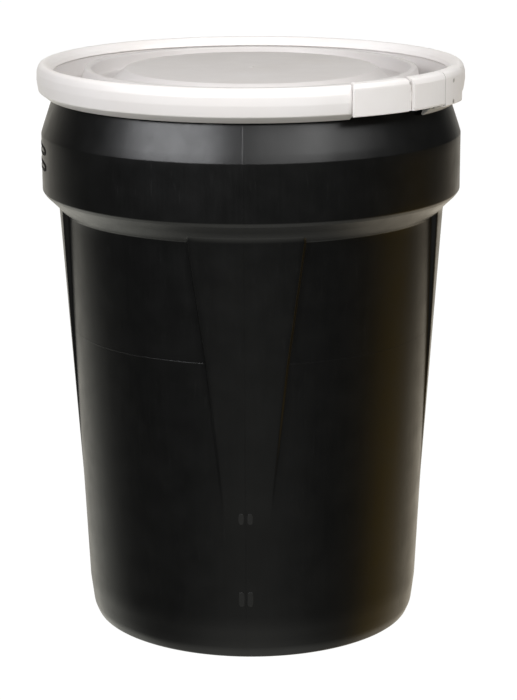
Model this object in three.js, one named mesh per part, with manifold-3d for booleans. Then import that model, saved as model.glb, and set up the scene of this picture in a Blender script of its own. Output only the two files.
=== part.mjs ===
// Open head plastic drum: nestable black body, recessed lid with its gasket, and a split
// closing ring with an over-centre lever latch. Millimetres, +Z up, the front faces -Y,
// and the drum stands on z = 0 with its axis on Z.
import * as THREE from "three";
import { mergeVertices } from "three/addons/utils/BufferGeometryUtils.js";
import Module from "manifold-3d";

const wasm = await Module();
wasm.setup();

// ---- Driving dimensions -------------------------------------------------------------
const ROUND_STEPS = 48; // facets round the drum
const FINE_STEPS = 180; // facets round a latch piece, before its sector is cut out

const WALL = 4; // body wall thickness
const FOOT_R = 204; // outer edge of the flat foot
const FOOT_INNER_R = 188;
const FOOT_RISE = 6; // how far the base is raised inside the foot
const WALL_FOOT_Z = 40;
const WALL_FOOT_R = 214.6;
const WALL_TOP_Z = 535;
const WALL_TOP_R = 237.5;
const BAND_R = 265.5; // cylindrical band under the shoulder
const BAND_BOTTOM_Z = 563.5;
const BAND_TOP_Z = 633;
const NECK_R = 249.6;
const NECK_Z = 682;
const RIM_Z = 711; // top of the mouth's bead
const RIM_R = 260.4;
const MOUTH_R = 254.4;

const PANEL_COUNT = 4; // raised V panels that keep nested drums apart
const PANEL_FOOT_Z = 150;
const PANEL_FLUSH_Z = 185; // where a panel runs out into the wall
const PANEL_MIDDLE_Z = 378;
const PANEL_TOP_Z = 543;
const PANEL_TOP_R = 244.5;
const PANEL_FOOT_HALF = 22.5;
const PANEL_MIDDLE_HALF = 46.2;
const PANEL_TOP_HALF = 68;

const LID_WALL = 2.6;
const LID_TOP_Z = 714; // centre plateau
const LID_FLOOR_Z = 698; // ring-shaped recess round the plateau
const LID_GUTTER_Z = 690.5;
const LID_RIM_Z = 716.6;
const LID_RIM_R = 262.6;

const RING_R = 270; // widest point of the closing ring
const RING_TOP_Z = 723;
const RING_INNER_R = 263.5; // its outer wall, measured inside
const RING_LEFT_END = 40.5; // degrees from the front, towards +X
const RING_RIGHT_END = 54.8;
const LIP_CUT_START = 28.2; // the lower lip stops here, before the ring's left end
const DOUBLED_LIP_END = 73.4; // the right end's lip is doubled from the end to here

const LEVER_FREE_END = 27.5;
const LEVER_WEB_END = 44.6;
const LEVER_INNER_R = 270.6;
const LEVER_OUTER_R = 274;
const LEVER_BOTTOM_Z = 686;
const FLANGE_LOW_Z = 723.3; // the latch's top flange, just over the ring
const FLANGE_TOP_Z = 725;
const FLANGE_R = 258;
const CORNER_R = 6; // rounding of the lever's free end
const FLANGE_CORNER_R = 9; // rounding of the flange's ends, seen from above

const PIVOT_ANGLE = 50.3; // lever pivot, on the anchor bracket
const PIVOT_R = 266.8;
const LINK_PIN_ANGLE = 45; // link pivot, on the lever
const LINK_PIN_R = 270.8;
const HOOK_PIN_ANGLE = 57.8; // link's hook pin, in the hinge block's open slot
const HOOK_PIN_R = 269.7;
const PIN_R = 1.8;
const PIN_PLAY = 0.3;
const KNUCKLE_R = 3.2;

const LINK_START = 46;
const LINK_END = 60;
const BLOCK_START = 56.2; // the block's low end, under the link
const BLOCK_FACE_START = 60.4;
const BLOCK_END = 74.4;
const BLOCK_BOTTOM_Z = 683;
const BLOCK_LOW_TOP_Z = 715.6;
const BLOCK_R = 274.3;
const ANCHOR_START = 31.6; // anchor bracket, on the ring's other end, behind the lever
const ANCHOR_LOW_Z = 691;
const ANCHOR_HIGH_Z = 715;
const ANCHOR_R = 270.2;
const POCKET_R = 266; // ring wall left behind the hinge block and the anchor bracket
const RIVET_R = 1.5;
const RIVET_HEAD_R = 2.4;
const GAP = 0.3; // between pieces that touch

const MIDDLE_LOW_Z = 697.4; // height of the link's knuckle, between the lever's two forks
const MIDDLE_HIGH_Z = 709.2;
const FORK_LOW_Z = LEVER_BOTTOM_Z + 0.6;
const FORK_HIGH_Z = 717.4;
const forkHeights = [
  [FORK_LOW_Z, MIDDLE_LOW_Z - GAP],
  [MIDDLE_HIGH_Z + GAP, FORK_HIGH_Z],
];

// ---- Solids -------------------------------------------------------------------------
const radians = THREE.MathUtils.degToRad;

// A point at radius r and an angle in degrees from the front (-Y), towards +X.
function polar(r, angle) {
  return new THREE.Vector2(r * Math.sin(radians(angle)), -r * Math.cos(radians(angle)));
}

// Closed three.js geometry to a manifold solid, with outward faces.
function toSolid(geometry) {
  const bare = geometry.clone();
  bare.deleteAttribute("normal");
  bare.deleteAttribute("uv");
  const merged = mergeVertices(bare, 1e-4);
  const position = merged.attributes.position;
  const index = merged.index.array;
  const corners = [];
  let volume = 0;
  for (let i = 0; i < index.length; i += 3) {
    const [a, b, c] = [index[i], index[i + 1], index[i + 2]];
    if (a === b || b === c || c === a) continue;
    corners.push(a, b, c);
    const [p, q, r] = [a, b, c].map((v) => new THREE.Vector3().fromBufferAttribute(position, v));
    volume += p.dot(q.cross(r));
  }
  if (volume < 0) corners.reverse();
  const mesh = new wasm.Mesh({
    numProp: 3,
    vertProperties: new Float32Array(position.array),
    triVerts: new Uint32Array(corners),
  });
  mesh.merge();
  return new wasm.Manifold(mesh);
}

function toGeometry(solid) {
  const mesh = solid.getMesh();
  const geometry = new THREE.BufferGeometry();
  geometry.setAttribute("position", new THREE.BufferAttribute(mesh.vertProperties, 3));
  geometry.setIndex(new THREE.BufferAttribute(mesh.triVerts, 1));
  geometry.computeVertexNormals();
  return geometry;
}

// Turns a closed [radius, height] profile round the Z axis.
function turned(profile, steps = ROUND_STEPS) {
  const points = profile.map(([r, z]) => new THREE.Vector2(r, z));
  const onAxis = profile[0][0] === 0 && profile.at(-1)[0] === 0;
  if (!onAxis) points.push(points[0].clone());
  return toSolid(new THREE.LatheGeometry(points, steps).rotateX(Math.PI / 2));
}

// Extrudes a flat XY shape from one height to another.
function upright(shape, low, high, curveSegments = 12) {
  const options = { depth: high - low, bevelEnabled: false, curveSegments };
  return toSolid(new THREE.ExtrudeGeometry(shape, options).translate(0, 0, low));
}

// A block that follows the drum's curve between two radii and two angles.
function sector(inner, outer, from, to, low, high) {
  const shape = new THREE.Shape();
  const start = radians(from - 90);
  const end = radians(to - 90);
  shape.absarc(0, 0, outer, start, end, false);
  shape.absarc(0, 0, inner, end, start, true);
  shape.closePath();
  return upright(shape, low, high, Math.max(2, Math.ceil((to - from) / 3)));
}

function post(r, angle, radius, low, high, sides = 16) {
  const at = polar(r, angle);
  const cylinder = new THREE.CylinderGeometry(radius, radius, high - low, sides);
  return toSolid(cylinder.rotateX(Math.PI / 2).translate(at.x, at.y, (low + high) / 2));
}

// A cylinder along the drum's radius, or a cone where its two radii differ.
function radialPost(from, to, angle, z, innerRadius, outerRadius, sides = 16) {
  const cone = new THREE.CylinderGeometry(outerRadius, innerRadius, to - from, sides);
  cone.translate(0, (from + to) / 2, 0).rotateZ(radians(180 + angle)).translate(0, 0, z);
  return toSolid(cone);
}

function joined(...solids) {
  return solids.reduce((sum, solid) => sum.add(solid));
}

function cut(solid, ...tools) {
  return tools.reduce((rest, tool) => rest.subtract(tool), solid);
}

// ---- Materials ----------------------------------------------------------------------
const colours = {
  black: { color: 0x141414, roughness: 0.42, metalness: 0 },
  lidWhite: { color: 0xded8d6, roughness: 0.5, metalness: 0 },
  ringWhite: { color: 0xf2ede8, roughness: 0.38, metalness: 0 },
  rubber: { color: 0x3a3836, roughness: 0.8, metalness: 0 },
  steel: { color: 0xa8a8a4, roughness: 0.3, metalness: 1 },
};

const drum = new THREE.Group();

function place(name, solid, colour) {
  const mesh = new THREE.Mesh(toGeometry(solid), new THREE.MeshStandardMaterial(colours[colour]));
  mesh.name = name;
  drum.add(mesh);
}

// ---- Body ---------------------------------------------------------------------------
function wallRadius(z) {
  const slope = (WALL_TOP_R - WALL_FOOT_R) / (WALL_TOP_Z - WALL_FOOT_Z);
  return WALL_FOOT_R + slope * (z - WALL_FOOT_Z);
}

// One V panel: a cone a little steeper than the wall, kept between the panel's two edges.
// The inset makes the smaller one that hollows it out.
function panel(turn, inset) {
  const slope = (PANEL_TOP_R - wallRadius(PANEL_FLUSH_Z)) / (WALL_TOP_Z - PANEL_FLUSH_Z);
  const radiusAt = (z) => wallRadius(PANEL_FLUSH_Z) + slope * (z - PANEL_FLUSH_Z) - inset;
  const low = PANEL_FOOT_Z + inset;
  const high = PANEL_TOP_Z;
  const cone = turned([[0, low], [radiusAt(low), low], [radiusAt(high), high], [0, high]]);
  const outline = new THREE.Shape();
  outline.moveTo(-(PANEL_FOOT_HALF - inset), low);
  outline.lineTo(PANEL_FOOT_HALF - inset, low);
  outline.lineTo(PANEL_MIDDLE_HALF - inset, PANEL_MIDDLE_Z);
  outline.lineTo(PANEL_TOP_HALF - inset, high + 1);
  outline.lineTo(-(PANEL_TOP_HALF - inset), high + 1);
  outline.lineTo(-(PANEL_MIDDLE_HALF - inset), PANEL_MIDDLE_Z);
  outline.closePath();
  const prism = new THREE.ExtrudeGeometry(outline, { depth: 260, bevelEnabled: false });
  return cone.intersect(toSolid(prism.rotateX(Math.PI / 2).rotateZ(turn)));
}

function bodyOuter() {
  return turned([
    [0, FOOT_RISE], [FOOT_INNER_R - 6, FOOT_RISE], [FOOT_INNER_R, 0], [FOOT_R, 0], [207, 2.4],
    [209.8, 9], [211.8, 20], [WALL_FOOT_R, WALL_FOOT_Z], [WALL_TOP_R, WALL_TOP_Z],
    [240.5, 538.5], [261.5, BAND_BOTTOM_Z - 4.6], [264.6, BAND_BOTTOM_Z - 1.2],
    [BAND_R, BAND_BOTTOM_Z + 2.5], [BAND_R, BAND_TOP_Z], [264.4, BAND_TOP_Z + 5],
    [262, BAND_TOP_Z + 11], [NECK_R, NECK_Z], [NECK_R, 685.4], [252.6, 689.2],
    [RIM_R, 694.5], [RIM_R, RIM_Z - 1.4], [RIM_R - 1.2, RIM_Z], [0, RIM_Z],
  ]);
}

function bodyHollow() {
  return turned([
    [0, FOOT_RISE + WALL], [FOOT_INNER_R - 4, FOOT_RISE + WALL], [FOOT_INNER_R + 1, WALL],
    [FOOT_R - 3, WALL], [205.6, 10], [207.8, 20], [WALL_FOOT_R - WALL, WALL_FOOT_Z],
    [WALL_TOP_R - WALL, WALL_TOP_Z + 1], [236.5, 539.5], [257.5, 560.4], [BAND_R - WALL, 567],
    [BAND_R - WALL, BAND_TOP_Z - 1], [257.9, 643], [NECK_R - WALL, NECK_Z],
    [NECK_R - WALL, 685.4], [MOUTH_R, 695], [MOUTH_R, RIM_Z - 1.2],
    [MOUTH_R + 1.2, RIM_Z], [MOUTH_R + 1.2, RIM_Z + 5], [0, RIM_Z + 5],
  ]);
}

function drumBody() {
  let outer = bodyOuter();
  let hollow = bodyHollow();
  for (let i = 0; i < PANEL_COUNT; i += 1) {
    const turn = (i * 2 * Math.PI) / PANEL_COUNT;
    outer = outer.add(panel(turn, 0));
    hollow = hollow.add(panel(turn, WALL));
  }
  return outer.subtract(hollow);
}

// ---- Lid and gasket -----------------------------------------------------------------
function lid() {
  return turned([
    [0, LID_TOP_Z], [155.5, LID_TOP_Z], [159.5, LID_TOP_Z - 1.8], [176, LID_FLOOR_Z + 1.6],
    [180, LID_FLOOR_Z], [195, LID_FLOOR_Z], [198.4, LID_FLOOR_Z + 2.4], [200.4, LID_TOP_Z - 1.6],
    [203.4, LID_TOP_Z + 1.6], [207, LID_TOP_Z + 1.6], [210.6, LID_TOP_Z - 1.8],
    [215.4, LID_GUTTER_Z + 2.4], [218.4, LID_GUTTER_Z], [243.6, LID_GUTTER_Z],
    [248.4, LID_GUTTER_Z + 3.4], [249.5, LID_GUTTER_Z + 12], [250.2, 708.2], [253, 711],
    [257.6, LID_RIM_Z], [LID_RIM_R - 0.8, LID_RIM_Z], [LID_RIM_R, LID_RIM_Z - 0.8],
    [LID_RIM_R, 703.4], [260.8, 703.4], [260.8, 713.9], [255.4, 713.9], [254, 711.6],
    [253.4, 702], [250.6, 691.6], [244.6, LID_GUTTER_Z - LID_WALL],
    [216.6, LID_GUTTER_Z - LID_WALL], [212.8, LID_GUTTER_Z + 1], [208.2, LID_TOP_Z - 3],
    [206, LID_TOP_Z - 1], [204.6, LID_TOP_Z - 1], [202.8, LID_TOP_Z - 3],
    [200.8, LID_FLOOR_Z], [196, LID_FLOOR_Z - LID_WALL], [179, LID_FLOOR_Z - LID_WALL],
    [174.2, LID_FLOOR_Z - 0.4], [158, LID_TOP_Z - 4], [154.6, LID_TOP_Z - LID_WALL],
    [0, LID_TOP_Z - LID_WALL],
  ]);
}

function lidGasket() {
  const low = RIM_Z + GAP;
  const high = 713.6;
  return turned([[256.2, low], [259.6, low], [260.2, high], [255.8, high]]);
}

// ---- Closing ring -------------------------------------------------------------------
function closureRing() {
  const whole = turned([
    [249, 711.6], [249.8, 713.4], [252.8, 717.4], [257.4, 720.8], [262, RING_TOP_Z - 0.3],
    [265, RING_TOP_Z - 0.3], [267.4, 720.6], [269, 716], [269.8, 710], [RING_R, 704],
    [269.6, 697], [268.4, 691], [266.8, 688.4], [257.2, 680.6], [255.4, 681], [255.8, 685.6],
    [RING_INNER_R, 693.4], [RING_INNER_R, 717.2], [257.4, 717.3], [254.4, 715.4], [251.4, 711],
  ]);
  const doubledLip = turned([
    [255.7, 675.6], [257.3, 674.8], [268, 683.2], [268.4, 689], [257.2, 681.4],
  ]).intersect(sector(240, 290, RING_RIGHT_END, DOUBLED_LIP_END, 670, 700));
  const split = sector(200, 320, RING_LEFT_END, RING_RIGHT_END, 600, 800);
  const lipCut = sector(200, RING_INNER_R, LIP_CUT_START, RING_LEFT_END + 1, 600, 695);
  const blockSeat = seat(BLOCK_START, BLOCK_END, BLOCK_BOTTOM_Z, FLANGE_TOP_Z);
  const anchorSeat = seat(ANCHOR_START, RING_LEFT_END + 1, ANCHOR_LOW_Z, ANCHOR_HIGH_Z);
  return cut(
    whole.add(doubledLip), split, lipCut, blockSeat, anchorSeat, ...rivets.map(rivetHole),
  );
}

// The step in the ring's outer wall that a riveted piece sits in.
function seat(from, to, low, high) {
  return sector(POCKET_R, 300, from - 0.1, to + 0.1, low - GAP, high + GAP);
}

// ---- Rivets, in pairs one above the other -------------------------------------------
const rivets = [
  { name: "block_rivet_upper", face: BLOCK_R, angle: 65.4, z: 712 },
  { name: "block_rivet_lower", face: BLOCK_R, angle: 65.4, z: 687 },
  { name: "anchor_rivet_upper", face: ANCHOR_R, angle: 35.4, z: 709.5 },
  { name: "anchor_rivet_lower", face: ANCHOR_R, angle: 35.4, z: 697.5 },
];

function countersunk({ face, angle, z }, play) {
  const headDepth = 2;
  const shank = radialPost(RING_INNER_R - 0.2, face - 1, angle, z, RIVET_R + play, RIVET_R + play);
  const head = radialPost(
    face - headDepth - play, face + play, angle, z, RIVET_R + play, RIVET_HEAD_R + 1.4 * play,
  );
  return shank.add(head);
}

function rivetHole(rivet) {
  const drill = radialPost(
    RING_INNER_R - 3, rivet.face + 3, rivet.angle, rivet.z, RIVET_R + GAP, RIVET_R + GAP,
  );
  return drill.add(countersunk(rivet, GAP));
}

// ---- Hinge block, on the ring's right end -------------------------------------------
// The rounded top edge and flange that the block, the lever and the link share.
const flangeProfile = [
  [BLOCK_R - 0.5, 719.4], [BLOCK_R - 1.7, 722.2], [BLOCK_R - 4, 724.2], [267, FLANGE_TOP_Z],
  [FLANGE_R + 1, FLANGE_TOP_Z], [FLANGE_R, FLANGE_TOP_Z - 0.6], [FLANGE_R + 0.6, FLANGE_LOW_Z],
];

function hingeBlock() {
  const inner = POCKET_R + GAP;
  const shell = turned([
    [inner, BLOCK_BOTTOM_Z], [BLOCK_R - 0.9, BLOCK_BOTTOM_Z], [BLOCK_R, BLOCK_BOTTOM_Z + 1.4],
    [BLOCK_R, 717], ...flangeProfile, [inner, FLANGE_LOW_Z],
  ], FINE_STEPS);
  const face = shell.intersect(sector(240, 300, BLOCK_FACE_START, BLOCK_END - 1.8, 680, 730));
  const step = shell.intersect(
    sector(240, RING_R + 0.6, BLOCK_END - 2, BLOCK_END, 680, 730),
  );
  const low = sector(
    inner, RING_R + 0.2, BLOCK_START, BLOCK_FACE_START + 0.4, BLOCK_BOTTOM_Z, BLOCK_LOW_TOP_Z,
  );
  const slot = openSlot(3.3, BLOCK_BOTTOM_Z + 1.6, BLOCK_LOW_TOP_Z - 1.6);
  const mouth = sector(
    240, RING_R + 1, BLOCK_START - 1, HOOK_PIN_ANGLE + 1.2, MIDDLE_LOW_Z - 2.4, MIDDLE_HIGH_Z + 2.4,
  );
  return cut(joined(face, step, low), slot, mouth, ...rivets.map(rivetHole));
}

// The slot that the link's hook pin drops into, open to the outside.
function openSlot(half, low, high) {
  const halfAngle = THREE.MathUtils.radToDeg(half / HOOK_PIN_R);
  const floor = HOOK_PIN_R - PIN_R - 2 * GAP;
  const [from, to] = [HOOK_PIN_ANGLE - halfAngle, HOOK_PIN_ANGLE + halfAngle];
  return sector(floor, RING_R + 1, from, to, low, high);
}

// ---- Anchor bracket, on the ring's left end, reaching to the lever's pivot -----------
function anchorBracket() {
  const inner = POCKET_R + GAP;
  const plate = sector(inner, ANCHOR_R, ANCHOR_START, RING_LEFT_END + 1.6, ANCHOR_LOW_Z, ANCHOR_HIGH_Z);
  const shoulder = sector(
    PIVOT_R - 3, ANCHOR_R, RING_LEFT_END + 0.3, RING_LEFT_END + 1.6, ANCHOR_LOW_Z, ANCHOR_HIGH_Z,
  );
  const arm = sector(
    PIVOT_R - 3, PIVOT_R + 0.4, RING_LEFT_END + 0.4, PIVOT_ANGLE - 0.3,
    MIDDLE_LOW_Z + 0.6, MIDDLE_HIGH_Z - 0.6,
  );
  const knuckle = post(PIVOT_R, PIVOT_ANGLE, KNUCKLE_R, MIDDLE_LOW_Z + 0.6, MIDDLE_HIGH_Z - 0.6);
  const bore = post(PIVOT_R, PIVOT_ANGLE, PIN_R + PIN_PLAY, 680, 730);
  return cut(joined(plate, shoulder, arm, knuckle), bore, ...rivets.map(rivetHole));
}

// ---- Lever: a curved plate with two forks that carry both of its pins -----------------
function lever() {
  const shell = turned([
    [LEVER_INNER_R, LEVER_BOTTOM_Z], [LEVER_OUTER_R - 0.6, LEVER_BOTTOM_Z],
    [LEVER_OUTER_R, LEVER_BOTTOM_Z + 0.8], [LEVER_OUTER_R, 717], ...flangeProfile,
    [267, FLANGE_LOW_Z], [269.6, 720.6], [LEVER_INNER_R, 716],
  ], FINE_STEPS);
  const web = shell.intersect(sector(240, 300, LEVER_FREE_END, LEVER_WEB_END, 680, 730));
  const notch = post(
    LINK_PIN_R, LINK_PIN_ANGLE, KNUCKLE_R + GAP, MIDDLE_LOW_Z - GAP, MIDDLE_HIGH_Z + GAP,
  );
  const forks = forkHeights.map(([low, high]) => joined(
    post(LINK_PIN_R, LINK_PIN_ANGLE, KNUCKLE_R, low, high),
    sector(PIVOT_R - 2.6, LEVER_INNER_R - 0.5, LINK_PIN_ANGLE - 0.6, PIVOT_ANGLE, low, high),
    post(PIVOT_R, PIVOT_ANGLE, KNUCKLE_R, low, high),
  ));
  const bores = [
    post(LINK_PIN_R, LINK_PIN_ANGLE, PIN_R + PIN_PLAY, FORK_LOW_Z + 1.4, FORK_HIGH_Z - 1.4),
    post(PIVOT_R, PIVOT_ANGLE, PIN_R + PIN_PLAY, FORK_LOW_Z + 1.4, FORK_HIGH_Z - 1.4),
  ];
  const corners = [leverCorner(), flangeCorner(LEVER_FREE_END, 1), flangeCorner(LEVER_WEB_END, -1)];
  return cut(joined(web.subtract(notch), ...forks), ...corners, ...bores);
}

// What rounds off the flange's corner at one end; side is 1 where the piece runs on towards +X.
function flangeCorner(end, side) {
  const r = FLANGE_R + FLANGE_CORNER_R;
  const middle = end + side * THREE.MathUtils.radToDeg(FLANGE_CORNER_R / r);
  const [from, to] = side > 0 ? [end - 1, middle] : [middle, end + 1];
  const corner = sector(FLANGE_R - 2, r, from, to, FLANGE_LOW_Z - 1, FLANGE_TOP_Z + 1);
  return corner.subtract(
    post(r, middle, FLANGE_CORNER_R, FLANGE_LOW_Z - 2, FLANGE_TOP_Z + 2, 48),
  );
}

// What rounds off the top corner of the lever's free end.
function leverCorner() {
  const turn = THREE.MathUtils.radToDeg(CORNER_R / LEVER_OUTER_R);
  const z = FLANGE_TOP_Z - CORNER_R;
  const corner = sector(240, 300, LEVER_FREE_END - 1, LEVER_FREE_END + turn, z, 730);
  return corner.subtract(radialPost(230, 310, LEVER_FREE_END + turn, z, CORNER_R, CORNER_R, 32));
}

// ---- Link: hinged on the lever, its hook pin held by the hinge block ------------------
function link() {
  const shell = turned([
    [LEVER_INNER_R + 0.1, LEVER_BOTTOM_Z], [LEVER_OUTER_R, LEVER_BOTTOM_Z],
    [LEVER_OUTER_R + 0.6, LEVER_BOTTOM_Z + 2], [LEVER_OUTER_R + 0.6, 717], ...flangeProfile,
    [267, FLANGE_LOW_Z], [269.6, 720.6], [LEVER_INNER_R + 0.1, 716],
  ], FINE_STEPS);
  const plate = shell.intersect(sector(240, 300, LINK_START, LINK_END, 680, 730));
  const nose = sector(
    LINK_PIN_R - KNUCKLE_R, LINK_PIN_R + 0.5, LINK_PIN_ANGLE, LINK_START + 0.4,
    MIDDLE_LOW_Z, MIDDLE_HIGH_Z,
  );
  const knuckle = post(LINK_PIN_R, LINK_PIN_ANGLE, KNUCKLE_R, MIDDLE_LOW_Z, MIDDLE_HIGH_Z);
  const eye = post(HOOK_PIN_R, HOOK_PIN_ANGLE, KNUCKLE_R, MIDDLE_LOW_Z, MIDDLE_HIGH_Z);
  const bores = [
    post(LINK_PIN_R, LINK_PIN_ANGLE, PIN_R + PIN_PLAY, 680, 730),
    post(HOOK_PIN_R, HOOK_PIN_ANGLE, PIN_R + PIN_PLAY, 680, BLOCK_LOW_TOP_Z),
  ];
  const bevel = post(LEVER_OUTER_R + 1.6, LINK_START - 0.15, 3.4, 680, 730, 24);
  const corners = [flangeCorner(LINK_START, 1), flangeCorner(LINK_END, -1)];
  return cut(joined(plate, nose, knuckle, eye), bevel, ...corners, ...bores);
}

// ---- Assembly -----------------------------------------------------------------------
place("drum_body", drumBody(), "black");
place("lid", lid(), "lidWhite");
place("lid_gasket", lidGasket(), "rubber");
place("closure_ring", closureRing(), "ringWhite");
place("hinge_block", hingeBlock(), "ringWhite");
place("anchor_bracket", anchorBracket(), "ringWhite");
for (const rivet of rivets) place(rivet.name, countersunk(rivet, 0), "steel");
place("lever", lever(), "ringWhite");
place("link", link(), "ringWhite");
const pivotPin = post(PIVOT_R, PIVOT_ANGLE, PIN_R, FORK_LOW_Z + 1.7, FORK_HIGH_Z - 1.7);
place("lever_pivot_pin", pivotPin, "steel");
place("link_pin", post(LINK_PIN_R, LINK_PIN_ANGLE, PIN_R, FORK_LOW_Z + 1.7, FORK_HIGH_Z - 1.7), "steel");
const hookPin = post(HOOK_PIN_R, HOOK_PIN_ANGLE, PIN_R, BLOCK_BOTTOM_Z + 3, BLOCK_LOW_TOP_Z - 3);
place("hook_pin", hookPin, "steel");

export default drum;
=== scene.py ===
# Looks for the open head drum: detailed shells that replace the plain CAD ones, moulding
# marks, procedural plastics and the studio. Outlines are in millimetres; objects in metres.
import math

import bmesh
import bpy
from mathutils import Matrix, Vector

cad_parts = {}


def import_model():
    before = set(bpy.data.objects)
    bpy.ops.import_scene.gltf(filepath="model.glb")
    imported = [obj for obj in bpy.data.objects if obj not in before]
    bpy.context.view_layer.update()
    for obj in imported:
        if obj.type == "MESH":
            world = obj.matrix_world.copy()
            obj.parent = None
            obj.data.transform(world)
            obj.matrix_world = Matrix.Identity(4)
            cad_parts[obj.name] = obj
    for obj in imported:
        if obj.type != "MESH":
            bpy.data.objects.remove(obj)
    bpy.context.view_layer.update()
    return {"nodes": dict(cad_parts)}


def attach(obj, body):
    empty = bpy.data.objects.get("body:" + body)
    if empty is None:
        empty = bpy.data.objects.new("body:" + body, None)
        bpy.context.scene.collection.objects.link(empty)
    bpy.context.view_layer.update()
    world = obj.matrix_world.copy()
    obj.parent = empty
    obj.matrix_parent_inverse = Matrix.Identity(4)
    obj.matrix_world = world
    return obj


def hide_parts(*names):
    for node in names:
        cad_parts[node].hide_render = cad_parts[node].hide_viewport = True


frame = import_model()

# Sizes in mm and angles in degrees from the front towards +X, unless a comment says otherwise.
MM = 0.001  # metres
WALL = 4.0

# The body: a tapered wall, four raised V panels, and a wide band under the mouth.
WALL_FOOT_Z, WALL_FOOT_R = 40.0, 214.6
WALL_TOP_Z, WALL_TOP_R = 535.0, 237.5
BAND_R = 265.5
BAND_BOTTOM_Z, BAND_TOP_Z = 563.5, 634.6
PANEL_FOOT_Z, PANEL_MIDDLE_Z, PANEL_TOP_Z = 150.0, 378.0, 543.0
PANEL_HALVES = ((PANEL_FOOT_Z, 22.5), (PANEL_MIDDLE_Z, 46.2), (PANEL_TOP_Z, 68.0))
PANEL_FLUSH_Z = 185.0  # below this the panel's face has run out into the wall
PANEL_CONE_TOP_Z, PANEL_CONE_TOP_R = 535.0, 244.5
PANEL_MEET_Z = 541.5  # where the panel's face meets the chamfer under the band
PANEL_STEP = 4.6  # width of the slope at the panel's side

# Marks that the mould leaves.
SEAM_ANGLE = -0.6  # the front parting line; the other one is opposite
SEAM_WIDTH, SEAM_RISE = 1.3, 0.1
WITNESS_Z = 385.0
WITNESS_LINES = (("left", 0.16, (-77.2, -12.9)), ("right", 0.08, (12.9, 77.2)))
LOW_PAD_Z, HIGH_PAD_Z, PAD_OFFSET = 81, 187, 5.4
BADGE_ANGLE, BADGE_Z = -82.0, (("upper", 618.0), ("lower", 598.0))
PAD_SQUARENESS = 0.62  # 1 is an ellipse, and 0 a rectangle
PINCH_REACH, PINCH_STEPS = 176, 30

# The closing ring and its latch seats, which are (start, end, low, high).
RING_LEFT_END, RING_RIGHT_END = 40.5, 54.8
LIP_CUT = (28.2, 41.5)
DOUBLED_LIP_END = 73.4
RING_WALL_INNER_R = 263.5
SEATS = ((56.1, 74.5, 682.7, 725.3), (31.5, 41.6, 690.7, 715.3))
PLASTIC_LATCH = ("hinge_block", "anchor_bracket", "lever", "link")
STEEL_LATCH = ("block_rivet_upper", "block_rivet_lower", "anchor_rivet_upper",
               "anchor_rivet_lower", "lever_pivot_pin", "link_pin", "hook_pin")

# The studio, in metres.
MIDDLE = Vector((0, 0, 0.6))
FLOOR_HALF, DOME_R = 14.0, 13.0
STAGE_GLOW = 1.02
ROOM_LEVEL = (0.03, 0.03, 0.03)
ROOM_GLOWS = (
    ((180, -10), 40, 8, (0.54, 0.52, 0.47)),  # behind the drum: its rim light
    ((-163, -8), 44, 14, (0.42, 0.40, 0.35)),
    ((0, -90), 70, 25, (0.28, 0.28, 0.26)),  # the floor
    ((0, -62), 46, 15, (0.43, 0.43, 0.40)),  # the floor in front
    ((-135, -43), 34, 16, (0.72, 0.72, 0.65)),  # the floor on the left
    ((150, -38), 35, 15, (0.76, 0.65, 0.48)),  # the floor on the right
    ((104, -30), 24, 6, (0.32, 0.19, 0.0)),  # a brown wall on the right
)


# ---- Mesh helpers ---------------------------------------------------------------------
def rounded(corners, closed=True, step=9.0):
    """Turns (radius, height, fillet) corners into points, each fillet an arc."""
    points = []
    for i, (r, z, fillet) in enumerate(corners):
        here = Vector((r, z))
        end_point = not closed and i in (0, len(corners) - 1)
        if fillet == 0 or end_point:
            points.append(here)
            continue
        back = (Vector(corners[i - 1][:2]) - here).normalized()
        onward = (Vector(corners[(i + 1) % len(corners)][:2]) - here).normalized()
        half = back.angle(onward) / 2
        centre = here + (back + onward).normalized() * fillet / math.sin(half)
        start = here + back * fillet / math.tan(half) - centre
        finish = here + onward * fillet / math.tan(half) - centre
        turn = math.atan2(start.x * finish.y - start.y * finish.x, start.dot(finish))
        count = max(2, math.ceil(abs(math.degrees(turn)) / step))
        for k in range(count + 1):
            angle = turn * k / count
            cos, sin = math.cos(angle), math.sin(angle)
            arm = Vector((start.x * cos - start.y * sin, start.x * sin + start.y * cos))
            points.append(centre + arm)
    return points


def point(r, z, angle):
    """A point at radius r and height z in mm, at an angle from the front, towards +X."""
    a = math.radians(angle)
    return (r * math.sin(a) * MM, -r * math.cos(a) * MM, z * MM)


def add_piece(name, verts, faces, body, sharp=35.0):
    mesh = bpy.data.meshes.new(name)
    mesh.from_pydata(verts, [], faces)
    tidy = bmesh.new()
    tidy.from_mesh(mesh)
    bmesh.ops.remove_doubles(tidy, verts=tidy.verts, dist=1e-6)
    bmesh.ops.recalc_face_normals(tidy, faces=tidy.faces)
    tidy.to_mesh(mesh)
    tidy.free()
    mesh.polygons.foreach_set("use_smooth", [True] * len(mesh.polygons))
    mesh.set_sharp_from_angle(angle=math.radians(sharp))
    piece = bpy.data.objects.new(name, mesh)
    bpy.context.scene.collection.objects.link(piece)
    if body:
        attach(piece, body)
    return piece


def grid_faces(rows, columns, wrap_rows, wrap_columns):
    faces = []
    for i in range(rows if wrap_rows else rows - 1):
        for j in range(columns if wrap_columns else columns - 1):
            below, beside = (i + 1) % rows, (j + 1) % columns
            faces.append((i * columns + j, i * columns + beside,
                          below * columns + beside, below * columns + j))
    return faces


def cap_ends(faces, side_count, vert_count):
    """Closes a tube's first and last ring of side_count points."""
    faces.append(list(range(side_count)))
    faces.append(list(range(vert_count - side_count, vert_count)))


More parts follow.
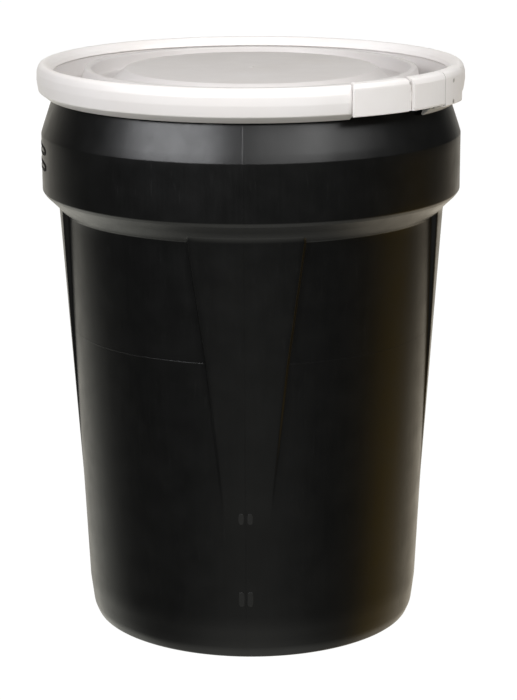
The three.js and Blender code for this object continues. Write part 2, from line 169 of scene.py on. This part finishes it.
def sweep(name, outline, body, start=0.0, end=360.0, step=1.5, sharp=35.0):
    """Sweeps a closed outline round Z between two angles; short of a turn, it caps the ends."""
    full = end - start >= 360.0
    columns = max(3, math.ceil((end - start) / step)) + (0 if full else 1)
    spans = columns if full else columns - 1
    angles = [start + (end - start) * j / spans for j in range(columns)]
    verts = [point(p.x, p.y, a) for p in outline for a in angles]
    faces = grid_faces(len(outline), columns, True, full)
    if not full:
        faces.append([i * columns for i in range(len(outline))])
        faces.append([i * columns + columns - 1 for i in reversed(range(len(outline)))])
    return add_piece(name, verts, faces, body, sharp)


def carve(piece, cutter, operation="DIFFERENCE"):
    """Cuts or joins another mesh into a piece for good, and removes that mesh."""
    change = piece.modifiers.new("carve", "BOOLEAN")
    change.operation = operation
    change.solver = "EXACT"
    change.object = cutter
    bpy.context.view_layer.update()
    done = bpy.data.meshes.new_from_object(
        piece.evaluated_get(bpy.context.evaluated_depsgraph_get()))
    piece.modifiers.clear()
    piece.data = done
    bpy.data.objects.remove(cutter)
    done.set_sharp_from_angle(angle=math.radians(35.0))


def soften(piece, width):
    """Rounds a piece's sharp edges by width, in mm."""
    bevel = piece.modifiers.new("edge rounding", "BEVEL")
    bevel.width = width * MM
    bevel.segments = 3
    bevel.limit_method = "ANGLE"
    bevel.angle_limit = math.radians(40.0)
    bevel.harden_normals = True
    bevel.use_clamp_overlap = True


# ---- Body -----------------------------------------------------------------------------
def wall_radius(z):
    slope = (WALL_TOP_R - WALL_FOOT_R) / (WALL_TOP_Z - WALL_FOOT_Z)
    return WALL_FOOT_R + slope * (z - WALL_FOOT_Z)


def panel_radius(z):
    """The panel's cone, which runs out into the wall near its foot."""
    flush = wall_radius(PANEL_FLUSH_Z)
    slope = (PANEL_CONE_TOP_R - flush) / (PANEL_CONE_TOP_Z - PANEL_FLUSH_Z)
    return flush + slope * (z - PANEL_FLUSH_Z)


def panel_half_width(z):
    z = min(max(z, PANEL_FOOT_Z), PANEL_TOP_Z)
    (z0, w0), (z1, w1) = PANEL_HALVES[:2] if z < PANEL_MIDDLE_Z else PANEL_HALVES[1:]
    return w0 + (w1 - w0) * (z - z0) / (z1 - z0)


def panel_columns():
    """Columns of one quarter as (place, height): place 0 to 1 runs from the panel's middle to
    its edge, 1 to 2 across the step, and 2 to 3 over the plain wall to the next quarter."""
    inside = [(i / 12, 1.0) for i in range(12)]
    step = [(1 + i / 6, 0.5 + 0.5 * math.cos(math.pi * i / 6)) for i in range(7)]
    outside = [(2 + i / 14, 0.0) for i in range(1, 15)]
    right = inside + step + outside
    left = [(-place, height) for place, height in reversed(right[1:-1])]
    return left + right


def column_angle(place, z, r):
    edge = math.degrees(math.asin(panel_half_width(z) / r))
    step = math.degrees(PANEL_STEP / r)
    side = math.copysign(1, place)
    place = abs(place)
    if place <= 1:
        return side * place * edge
    if place <= 2:
        return side * (edge + (place - 1) * step)
    return side * (edge + step + (place - 2) * (45 - edge - step))


def split_rows(points, longest):
    """Adds points so that no two rows are further apart than longest, in mm."""
    rows = [points[0]]
    for a, b in zip(points, points[1:]):
        count = max(1, math.ceil((b - a).length / longest))
        rows += [a.lerp(b, k / count) for k in range(1, count + 1)]
    return rows


def body_rows():
    """The body's outline as two lists of (radius, height) points: outside and inside."""
    outer = rounded([
        (0, 6, 0), (180, 6, 3), (188, 0, 2), (205.4, 0, 5), (210.6, 12, 24),
        (wall_radius(46), 46, 0), (WALL_TOP_R, WALL_TOP_Z, 3),
        (WALL_TOP_R + 25, 559.2, 4), (BAND_R, BAND_BOTTOM_Z, 4),
        (BAND_R, BAND_TOP_Z, 5), (262.2, 645, 12), (249.6, 682, 2), (249.6, 685.4, 2),
        (260.4, 694.5, 1.2), (260.4, 711, 1.4), (254.4, 711, 1.4),
    ], closed=False)
    inner = rounded([
        (254.4, 711, 0), (254.4, 695, 3), (245.6, 685.4, 3), (245.6, 682, 2), (257.9, 643, 8),
        (261.5, 632, 4), (261.5, 566, 5), (236, 540, 5), (WALL_TOP_R - WALL, 534, 4),
        (wall_radius(44) - WALL, 44, 4), (207, 13, 12), (201.6, 4, 3), (189, 4, 3), (183, 10, 3),
        (0, 10, 0),
    ], closed=False)
    outer = split_rows(outer, 12.0)
    meeting = Vector((panel_radius(PANEL_MEET_Z), PANEL_MEET_Z))
    outer.insert(next(i for i, row in enumerate(outer) if row.y > PANEL_MEET_Z), meeting)
    return outer, split_rows(inner, 14.0)


def body_vertex(row, place, height, quarter, inset):
    radius = row.x
    if PANEL_FLUSH_Z < row.y < PANEL_TOP_Z:
        raised = panel_radius(row.y) - inset
        radius += max(0.0, raised - row.x) * height
    angle = column_angle(place, row.y, max(row.x, 100.0)) + 90 * quarter
    return point(radius, row.y, angle)


def drum_shell():
    outer, inner = body_rows()
    columns = panel_columns()
    verts = []
    for rows, inset in ((outer, 0.0), (inner, WALL)):
        for row in rows:
            for quarter in range(4):
                verts += [body_vertex(row, place, height, quarter, inset)
                          for place, height in columns]
    faces = grid_faces(len(outer) + len(inner), 4 * len(columns), False, True)
    shell = add_piece("drum_shell", verts, faces, "drum", sharp=50.0)
    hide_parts("drum_body")
    return shell


def strip(name, path, angle, width, rise):
    """A fine ridge that follows a (radius, height) path up the body at one angle."""
    section = ((-1, -0.6), (-1, 0), (-0.5, rise), (0.5, rise), (1, 0), (1, -0.6))
    verts = []
    for i, row in enumerate(path):
        along = path[min(i + 1, len(path) - 1)] - path[max(i - 1, 0)]
        outward = Vector((along.y, -along.x)).normalized()
        for side, lift in section:
            spot = row + outward * lift
            verts.append(point(spot.x, spot.y, angle + math.degrees(side * width / 2 / row.x)))
    faces = grid_faces(len(path), len(section), False, True)
    cap_ends(faces, len(section), len(verts))
    return add_piece(name, verts, faces, "drum")


def pad(name, angle, z, across, up, rise, radius_at):
    """A low raised pad with a rounded edge; across and up are half sizes in mm."""
    levels = ((1.0, -0.5), (1.0, 0.0), (0.93, 0.7), (0.8, 1.0), (0.4, 1.0))
    count = 48
    verts = []
    for share, level in levels:
        for k in range(count):
            turn = 2 * math.pi * k / count
            x = math.copysign(abs(math.cos(turn)) ** PAD_SQUARENESS, math.cos(turn))
            y = math.copysign(abs(math.sin(turn)) ** PAD_SQUARENESS, math.sin(turn))
            inset = (1 - share) * min(across, up)
            height = z + y * (up - inset)
            radius = radius_at(height)
            side = math.degrees(x * (across - inset) / radius)
            verts.append(point(radius + level * rise, height, angle + side))
    faces = grid_faces(len(levels), count, False, True)
    cap_ends(faces, count, len(verts))
    return add_piece(name, verts, faces, "drum", sharp=60.0)


def seam_row(row):
    """A row of the body's outline, moved out to the panel's face where that is raised."""
    if PANEL_FLUSH_Z < row.y < PANEL_TOP_Z:
        return Vector((max(row.x, panel_radius(row.y)), row.y))
    return row


def witness_line(label, rise, span):
    r, z = wall_radius(WITNESS_Z), WITNESS_Z
    outline = ((r - 0.6, z - 0.6), (r, z - 0.6), (r + rise, z - 0.2),
               (r + rise, z + 0.2), (r, z + 0.6), (r - 0.6, z + 0.6))
    return sweep("witness_line_" + label, [Vector(p) for p in outline], "drum", *span)


def moulding_marks():
    """Parting lines, witness lines, ejector pads and blank badges."""
    outer, _ = body_rows()
    path = [seam_row(row) for row in outer if row.x > 200 and row.y < 687]
    marks = [strip("seam_front", path, SEAM_ANGLE, SEAM_WIDTH, SEAM_RISE),
             strip("seam_back", path, SEAM_ANGLE + 180, SEAM_WIDTH, SEAM_RISE)]
    marks += [witness_line(*line) for line in WITNESS_LINES]
    for side, label in ((-1, "left"), (1, "right")):
        place = SEAM_ANGLE + side * math.degrees(PAD_OFFSET / wall_radius(LOW_PAD_Z))
        marks.append(pad("low_pad_" + label, place, LOW_PAD_Z, 3.9, 9.5, 0.3, wall_radius))
        marks.append(pad("high_pad_" + label, place, HIGH_PAD_Z, 3.4, 7.0, 0.2, panel_radius))
    for label, z in BADGE_Z:
        marks.append(pad("badge_" + label, BADGE_ANGLE, z, 46, 6.8, 0.5, lambda height: BAND_R))
    return marks


def pinch_off():
    """The welded line that the mould leaves across the underside of the base."""
    a = math.radians(SEAM_ANGLE)
    along, across = Vector((math.sin(a), -math.cos(a))), Vector((math.cos(a), math.sin(a)))
    section = ((-1.8, 6.4), (-1.8, 5.8), (-0.7, 4.6), (0.7, 4.6), (1.8, 5.8), (1.8, 6.4))
    verts = []
    for step in range(PINCH_STEPS + 1):
        reach = PINCH_REACH * (1 - 2 * step / PINCH_STEPS)
        for side, height in section:
            spot = along * reach + across * side
            verts.append((spot.x * MM, spot.y * MM, height * MM))
    faces = grid_faces(PINCH_STEPS + 1, len(section), False, True)
    cap_ends(faces, len(section), len(verts))
    return add_piece("pinch_off", verts, faces, "drum")


# ---- Lid, gasket and ring ---------------------------------------------------------------
def lid_shell():
    outline = rounded([
        (0, 714, 0), (158, 714, 5), (177.5, 698, 5), (197.6, 698, 3), (200.6, 715.6, 3.2),
        (209.4, 715.6, 3.6), (216, 690.5, 4), (246.4, 690.5, 6), (250.2, 709, 3),
        (256, 716.6, 4), (262.6, 716.6, 1), (262.6, 703.4, 0.7), (260.8, 703.4, 0.7),
        (260.8, 713.9, 0.6), (254.6, 713.9, 2), (253.2, 702, 3), (249.2, 687.9, 4),
        (214.2, 687.9, 3), (206.4, 712.8, 2), (203.4, 712.8, 2), (200.4, 695.4, 3),
        (176.4, 695.4, 4), (156.8, 711.4, 4), (0, 711.4, 0),
    ])
    shell = sweep("lid_shell", outline, "lid", step=1.2)
    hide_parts("lid")
    return shell


def gate_mark():
    """The small disc that the injection gate leaves in the middle of the lid."""
    outline = rounded([(0, 714.5, 0), (3.4, 714.5, 0.4), (3.8, 713.6, 0), (0, 713.6, 0)])
    return sweep("gate_mark", outline, "lid", step=10.0)


def gasket():
    outline = rounded([
        (256.0, 711.3, 0.7), (259.8, 711.3, 0.7), (260.3, 713.6, 0.8), (255.6, 713.6, 0.8),
    ])
    piece = sweep("gasket_ring", outline, "lid", step=2.0)
    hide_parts("lid_gasket")
    return piece


def ring_shell():
    outline = rounded([
        (248.8, 711, 1.1), (251.6, 716.6, 4), (258, 722.4, 8), (266, 723.2, 7),
        (269.4, 712.5, 8), (269.8, 702.5, 12), (267.9, 689.2, 3.2), (256.2, 680.2, 1.2),
        (255.2, 685, 1), (263.5, 693.4, 2), (263.5, 717.3, 1.5), (257.4, 717.3, 3),
        (251.3, 710.8, 0.8),
    ])
    ring = sweep("ring_shell", outline, "ring", RING_RIGHT_END, 360 + RING_LEFT_END, 1.2)
    doubled = rounded([
        (255.7, 675.6, 0.5), (257.4, 674.9, 0.6), (267.9, 683.2, 1), (268.2, 688.9, 0),
        (257.2, 681.3, 0),
    ])
    carve(ring, sweep("lip", doubled, None, RING_RIGHT_END, DOUBLED_LIP_END, 1.2), "UNION")
    cuts = [(200, RING_WALL_INNER_R, 600, 695, *LIP_CUT)]
    cuts += [(266, 300, low, high, start, end) for start, end, low, high in SEATS]
    for near, far, low, high, start, end in cuts:
        corners = [(near, low, 0), (far, low, 0), (far, high, 0), (near, high, 0)]
        carve(ring, sweep("cutter", rounded(corners), None, start, end, 1.2))
    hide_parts("closure_ring")
    soften(ring, 0.7)
    return ring


# ---- Materials --------------------------------------------------------------------------
class Nodes:
    """A material's node tree, with short ways to add and join nodes."""

    def __init__(self, name):
        self.material = bpy.data.materials.new(name)
        self.material.use_nodes = True
        self.tree = self.material.node_tree
        self.shader = self.tree.nodes["Principled BSDF"]
        self.place = self.add("ShaderNodeTexCoord").outputs["Object"]

    def add(self, kind, **settings):
        node = self.tree.nodes.new(kind)
        for key, value in settings.items():
            if key in node.inputs:
                node.inputs[key].default_value = value
            else:
                setattr(node, key, value)
        return node

    def join(self, source, target):
        self.tree.links.new(source, target)

    def stretched(self, scale):
        """Object coordinates scaled along each axis."""
        mapping = self.add("ShaderNodeMapping")
        mapping.inputs["Scale"].default_value = scale
        self.join(self.place, mapping.inputs["Vector"])
        return mapping.outputs["Vector"]

    def noise(self, scale, detail=3.0, vector=None):
        node = self.add("ShaderNodeTexNoise", Scale=scale, Detail=detail)
        self.join(vector or self.place, node.inputs["Vector"])
        return node.outputs["Fac"]

    def ranged(self, value, low, high, start=0.3, stop=0.7):
        node = self.add("ShaderNodeMapRange")
        for key, number in (("From Min", start), ("From Max", stop), ("To Min", low),
                            ("To Max", high)):
            node.inputs[key].default_value = number
        self.join(value, node.inputs["Value"])
        return node.outputs["Result"]

    def total(self, first, second):
        node = self.add("ShaderNodeMath", operation="ADD")
        self.join(first, node.inputs[0])
        self.join(second, node.inputs[1])
        return node.outputs["Value"]

    def tinted(self, factor, first, second):
        node = self.add("ShaderNodeMix", data_type="RGBA")
        self.join(factor, node.inputs["Factor"])
        node.inputs["A"].default_value = (*first, 1)
        node.inputs["B"].default_value = (*second, 1)
        return node.outputs["Result"]

    def bump(self, height, strength, distance, normal=None):
        node = self.add("ShaderNodeBump", Strength=strength, Distance=distance)
        self.join(height, node.inputs["Height"])
        if normal:
            self.join(normal, node.inputs["Normal"])
        return node.outputs["Normal"]


def moulded_plastic(name, colour, mottle, roughness, grain=0.12, streaks=0.0, scuffs=0.0):
    """Polyethylene: faint cloudy colour, patchy roughness, a fine grain, upright flow streaks
    and light scuffs that are duller than the rest."""
    n = Nodes(name)
    clouds = n.noise(9.0, 4.0)
    n.join(n.tinted(n.ranged(clouds, 0, 1), colour, mottle), n.shader.inputs["Base Color"])
    patches = n.noise(34.0, 5.0)
    rough = n.ranged(patches, *roughness)
    upright = n.noise(1.0, 3.0, n.stretched((210, 210, 3.5)))
    rough = n.total(rough, n.ranged(upright, -streaks, streaks))
    scratches = n.noise(1.0, 2.0, n.stretched((330, 330, 40)))
    rough = n.total(rough, n.ranged(scratches, 0, scuffs, 0.66, 0.72))
    n.join(rough, n.shader.inputs["Roughness"])
    flow = n.noise(1.0, 2.0, n.stretched((26, 26, 7)))
    soft = n.bump(flow, 0.1, 0.0012)
    fine = n.noise(1500.0, 2.0)
    n.join(n.bump(fine, grain, 0.0002, soft), n.shader.inputs["Normal"])
    return n.material


def paint(piece, material):
    piece.data.materials.clear()
    piece.data.materials.append(material)


def paint_node(name, material):
    node = frame["nodes"][name]
    for place in node.material_slots:
        place.material = material


def black_plastics():
    """The body's own black, a paler worn one, and a dull one that takes no sheen."""
    black = moulded_plastic("black_hdpe", (0.0026, 0.0027, 0.0026), (0.0036, 0.0036, 0.0033),
                            (0.31, 0.37), streaks=0.012, scuffs=0.05)
    worn = moulded_plastic("black_hdpe_dull", (0.0085, 0.0085, 0.0075),
                           (0.010, 0.010, 0.009), (0.5, 0.56))
    matt = moulded_plastic("black_hdpe_matt", (0.002, 0.002, 0.002), (0.003, 0.003, 0.003),
                           (0.6, 0.7))
    matt.node_tree.nodes["Principled BSDF"].inputs["Specular IOR Level"].default_value = 0.1
    return black, worn, matt


def steel_material():
    steel = moulded_plastic("steel", (0.62, 0.60, 0.57), (0.68, 0.66, 0.63), (0.4, 0.5), 0.05)
    steel.node_tree.nodes["Principled BSDF"].inputs["Metallic"].default_value = 0.7
    return steel


def dress_body():
    black, worn, matt = black_plastics()
    paint(drum_shell(), black)
    for mark in moulding_marks():
        kind = mark.name.split("_")[0]
        paint(mark, {"low": worn, "high": worn, "badge": matt}.get(kind, black))
    base_line = pinch_off()
    paint(base_line, black)


def dress_lid():
    white = moulded_plastic("lid_hdpe", (0.605, 0.572, 0.552), (0.645, 0.617, 0.605),
                            (0.42, 0.52), scuffs=0.1)
    rubber = moulded_plastic("rubber", (0.04, 0.04, 0.04), (0.05, 0.05, 0.05), (0.7, 0.8))
    paint(lid_shell(), white)
    gate = gate_mark()
    paint(gate, white)
    paint(gasket(), rubber)


def dress_latch():
    white = moulded_plastic("ring_hdpe", (0.84, 0.80, 0.77), (0.88, 0.85, 0.83),
                            (0.34, 0.44), scuffs=0.1)
    steel = steel_material()
    paint(ring_shell(), white)
    for name in PLASTIC_LATCH:
        paint_node(name, white)
        soften(frame["nodes"][name], 0.6)
    for name in STEEL_LATCH:
        paint_node(name, steel)
        soften(frame["nodes"][name], 0.3)


# ---- Studio -----------------------------------------------------------------------------
def stage_nodes(name):
    """A material that looks evenly white, whatever falls on it."""
    n = Nodes(name)
    n.shader.inputs["Base Color"].default_value = (0, 0, 0, 1)
    n.shader.inputs["Roughness"].default_value = 0.9
    n.shader.inputs["Emission Color"].default_value = (1, 1, 1, 1)
    n.shader.inputs["Emission Strength"].default_value = STAGE_GLOW
    return n


def floor():
    """A white floor, clear when seen from below and left out of reflections."""
    reach = FLOOR_HALF
    verts = [(-reach, -reach, 0), (reach, -reach, 0), (reach, reach, 0), (-reach, reach, 0)]
    piece = add_piece("floor", verts, [(0, 1, 2, 3)], None)
    n = stage_nodes("floor")
    one_sided = n.add("ShaderNodeMath", operation="SUBTRACT")
    one_sided.inputs[0].default_value = 1.0
    geometry = n.add("ShaderNodeNewGeometry")
    n.join(geometry.outputs["Backfacing"], one_sided.inputs[1])
    n.join(one_sided.outputs["Value"], n.shader.inputs["Alpha"])
    paint(piece, n.material)
    piece.visible_glossy = False
    piece.visible_diffuse = False


def backdrop():
    """A bright dome that only the camera sees."""
    mesh = bpy.data.meshes.new("backdrop")
    dome = bmesh.new()
    bmesh.ops.create_uvsphere(dome, u_segments=48, v_segments=24, radius=DOME_R)
    dome.to_mesh(mesh)
    dome.free()
    piece = bpy.data.objects.new("backdrop", mesh)
    bpy.context.scene.collection.objects.link(piece)
    paint(piece, stage_nodes("backdrop").material)
    for ray in ("diffuse", "glossy", "transmission", "shadow", "volume_scatter"):
        setattr(piece, "visible_" + ray, False)


def toward(azimuth, elevation):
    """A direction: degrees from the front towards +X, and degrees up."""
    a, e = math.radians(azimuth), math.radians(elevation)
    return Vector((math.sin(a) * math.cos(e), -math.cos(a) * math.cos(e), math.sin(e)))


def softbox(name, azimuth, elevation, distance, size, power, colour=(1, 1, 1)):
    data = bpy.data.lights.new(name, "AREA")
    data.shape = "RECTANGLE"
    data.size, data.size_y = size
    data.energy = power
    data.color = colour
    light = bpy.data.objects.new(name, data)
    aim = toward(azimuth, elevation)
    light.location = MIDDLE + aim * distance
    light.rotation_euler = (-aim).to_track_quat("-Z", "Y").to_euler()
    bpy.context.scene.collection.objects.link(light)


def world():
    """The room: dim, with soft glows given by direction, edge and core angle, and colour."""
    sky = bpy.data.worlds.new("studio")
    sky.use_nodes = True
    tree = sky.node_tree
    place = tree.nodes.new("ShaderNodeTexCoord").outputs["Generated"]
    total = None
    for aim, edge, core, colour in ROOM_GLOWS:
        dot = tree.nodes.new("ShaderNodeVectorMath")
        dot.operation = "DOT_PRODUCT"
        tree.links.new(place, dot.inputs[0])
        dot.inputs[1].default_value = toward(*aim)
        fade = tree.nodes.new("ShaderNodeMapRange")
        fade.interpolation_type = "SMOOTHSTEP"
        fade.inputs["From Min"].default_value = math.cos(math.radians(edge))
        fade.inputs["From Max"].default_value = math.cos(math.radians(core))
        tree.links.new(dot.outputs["Value"], fade.inputs["Value"])
        glow = tree.nodes.new("ShaderNodeVectorMath")
        glow.operation = "MULTIPLY_ADD"
        glow.inputs[0].default_value = colour
        tree.links.new(fade.outputs["Result"], glow.inputs[1])
        if total:
            tree.links.new(total, glow.inputs[2])
        else:
            glow.inputs[2].default_value = ROOM_LEVEL
        total = glow.outputs["Vector"]
    tree.links.new(total, tree.nodes["Background"].inputs["Color"])
    bpy.context.scene.world = sky


def camera():
    """A long lens about 3 m from the drum, looking down by some 14 degrees."""
    turn, tilt, roll = math.radians(1.4), math.radians(90 - 14.31), math.radians(-0.17)
    data = bpy.data.cameras.new("camera")
    data.lens = 118.6
    data.sensor_width = 36.0
    eye = bpy.data.objects.new("camera", data)
    eye.location = Matrix.Rotation(turn, 3, "Z") @ Vector((0.0087, -2.909, 1.087))
    aim = Matrix.Rotation(turn, 3, "Z") @ Matrix.Rotation(tilt, 3, "X")
    eye.rotation_euler = (aim @ Matrix.Rotation(roll, 3, "Z")).to_euler()
    bpy.context.scene.collection.objects.link(eye)
    bpy.context.scene.camera = eye


def studio():
    floor()
    backdrop()
    world()
    camera()
    softbox("key", -42, 27, 3.0, (2.6, 1.0), 70, (0.96, 0.97, 1.0))
    softbox("fill", 22, 26, 3.0, (2.0, 0.9), 15)
    softbox("right", 52, 42, 3.0, (1.8, 1.4), 56)
    softbox("top_front", -10, 62, 2.6, (2.0, 2.0), 14)
    softbox("top_back", 160, 66, 2.6, (1.6, 1.6), 2, (1.0, 0.92, 0.82))
    bpy.context.scene.view_settings.view_transform = "Standard"


dress_body()
dress_lid()
dress_latch()
studio()
